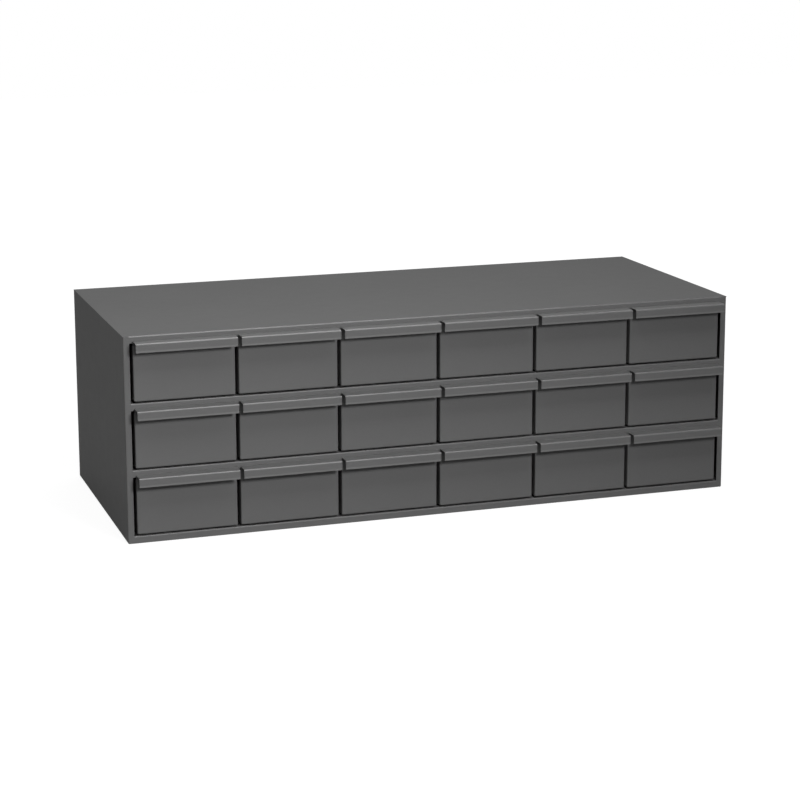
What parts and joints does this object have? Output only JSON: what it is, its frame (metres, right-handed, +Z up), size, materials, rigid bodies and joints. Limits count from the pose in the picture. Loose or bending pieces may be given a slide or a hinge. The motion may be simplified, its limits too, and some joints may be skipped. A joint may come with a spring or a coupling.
{
  "type": "parts bin cabinet",
  "caption": "Low wide steel parts cabinet with rows of small pull-out drawers behind full-width folded pulls.",
  "frame": {"origin": "middle of the footprint, drawer pulls included, on the surface that the cabinet stands on", "axes": "+X to the right along the front, +Y from the drawer fronts to the back, +Z up"},
  "size_m": [0.8572, 0.3758, 0.2762],
  "materials": {
    "case_enamel": "grey baked powder coat, satin, finely mottled",
    "drawer_enamel": "grey baked powder coat, satin, finely mottled"
  },
  "bodies": {
    "case": {"left_side": "case_enamel", "right_side": "case_enamel", "top_panel": "case_enamel", "base_panel": "case_enamel", "back_panel": "case_enamel", "upper_shelf": "case_enamel", "lower_shelf": "case_enamel", "left_guide_row1": "case_enamel", "partition_row1_1": "case_enamel", "partition_row1_2": "case_enamel", "partition_row1_3": "case_enamel", "partition_row1_4": "case_enamel", "partition_row1_5": "case_enamel", "right_guide_row1": "case_enamel", "left_guide_row2": "case_enamel", "partition_row2_1": "case_enamel", "partition_row2_2": "case_enamel", "partition_row2_3": "case_enamel", "partition_row2_4": "case_enamel", "partition_row2_5": "case_enamel", "right_guide_row2": "case_enamel", "left_guide_row3": "case_enamel", "partition_row3_1": "case_enamel", "partition_row3_2": "case_enamel", "partition_row3_3": "case_enamel", "partition_row3_4": "case_enamel", "partition_row3_5": "case_enamel", "right_guide_row3": "case_enamel"},
    "drawer_row1_col1": {"drawer_row1_col1": "drawer_enamel"},
    "drawer_row1_col2": {"drawer_row1_col2": "drawer_enamel"},
    "drawer_row1_col3": {"drawer_row1_col3": "drawer_enamel"},
    "drawer_row1_col4": {"drawer_row1_col4": "drawer_enamel"},
    "drawer_row1_col5": {"drawer_row1_col5": "drawer_enamel"},
    "drawer_row1_col6": {"drawer_row1_col6": "drawer_enamel"},
    "drawer_row2_col1": {"drawer_row2_col1": "drawer_enamel"},
    "drawer_row2_col2": {"drawer_row2_col2": "drawer_enamel"},
    "drawer_row2_col3": {"drawer_row2_col3": "drawer_enamel"},
    "drawer_row2_col4": {"drawer_row2_col4": "drawer_enamel"},
    "drawer_row2_col5": {"drawer_row2_col5": "drawer_enamel"},
    "drawer_row2_col6": {"drawer_row2_col6": "drawer_enamel"},
    "drawer_row3_col1": {"drawer_row3_col1": "drawer_enamel"},
    "drawer_row3_col2": {"drawer_row3_col2": "drawer_enamel"},
    "drawer_row3_col3": {"drawer_row3_col3": "drawer_enamel"},
    "drawer_row3_col4": {"drawer_row3_col4": "drawer_enamel"},
    "drawer_row3_col5": {"drawer_row3_col5": "drawer_enamel"},
    "drawer_row3_col6": {"drawer_row3_col6": "drawer_enamel"}
  },
  "joints": [
    {"name": "slide_row1_col1", "type": "slide", "parent": "case", "child": "drawer_row1_col1", "axis": [0, -1, 0], "range_m": [0, 0.3156]},
    {"name": "slide_row1_col2", "type": "slide", "parent": "case", "child": "drawer_row1_col2", "axis": [0, -1, 0], "range_m": [0, 0.3156]},
    {"name": "slide_row1_col3", "type": "slide", "parent": "case", "child": "drawer_row1_col3", "axis": [0, -1, 0], "range_m": [0, 0.3156]},
    {"name": "slide_row1_col4", "type": "slide", "parent": "case", "child": "drawer_row1_col4", "axis": [0, -1, 0], "range_m": [0, 0.3156]},
    {"name": "slide_row1_col5", "type": "slide", "parent": "case", "child": "drawer_row1_col5", "axis": [0, -1, 0], "range_m": [0, 0.3156]},
    {"name": "slide_row1_col6", "type": "slide", "parent": "case", "child": "drawer_row1_col6", "axis": [0, -1, 0], "range_m": [0, 0.3156]},
    {"name": "slide_row2_col1", "type": "slide", "parent": "case", "child": "drawer_row2_col1", "axis": [0, -1, 0], "range_m": [0, 0.3156]},
    {"name": "slide_row2_col2", "type": "slide", "parent": "case", "child": "drawer_row2_col2", "axis": [0, -1, 0], "range_m": [0, 0.3156]},
    {"name": "slide_row2_col3", "type": "slide", "parent": "case", "child": "drawer_row2_col3", "axis": [0, -1, 0], "range_m": [0, 0.3156]},
    {"name": "slide_row2_col4", "type": "slide", "parent": "case", "child": "drawer_row2_col4", "axis": [0, -1, 0], "range_m": [0, 0.3156]},
    {"name": "slide_row2_col5", "type": "slide", "parent": "case", "child": "drawer_row2_col5", "axis": [0, -1, 0], "range_m": [0, 0.3156]},
    {"name": "slide_row2_col6", "type": "slide", "parent": "case", "child": "drawer_row2_col6", "axis": [0, -1, 0], "range_m": [0, 0.3156]},
    {"name": "slide_row3_col1", "type": "slide", "parent": "case", "child": "drawer_row3_col1", "axis": [0, -1, 0], "range_m": [0, 0.3156]},
    {"name": "slide_row3_col2", "type": "slide", "parent": "case", "child": "drawer_row3_col2", "axis": [0, -1, 0], "range_m": [0, 0.3156]},
    {"name": "slide_row3_col3", "type": "slide", "parent": "case", "child": "drawer_row3_col3", "axis": [0, -1, 0], "range_m": [0, 0.3156]},
    {"name": "slide_row3_col4", "type": "slide", "parent": "case", "child": "drawer_row3_col4", "axis": [0, -1, 0], "range_m": [0, 0.3156]},
    {"name": "slide_row3_col5", "type": "slide", "parent": "case", "child": "drawer_row3_col5", "axis": [0, -1, 0], "range_m": [0, 0.3156]},
    {"name": "slide_row3_col6", "type": "slide", "parent": "case", "child": "drawer_row3_col6", "axis": [0, -1, 0], "range_m": [0, 0.3156]}
  ]
}
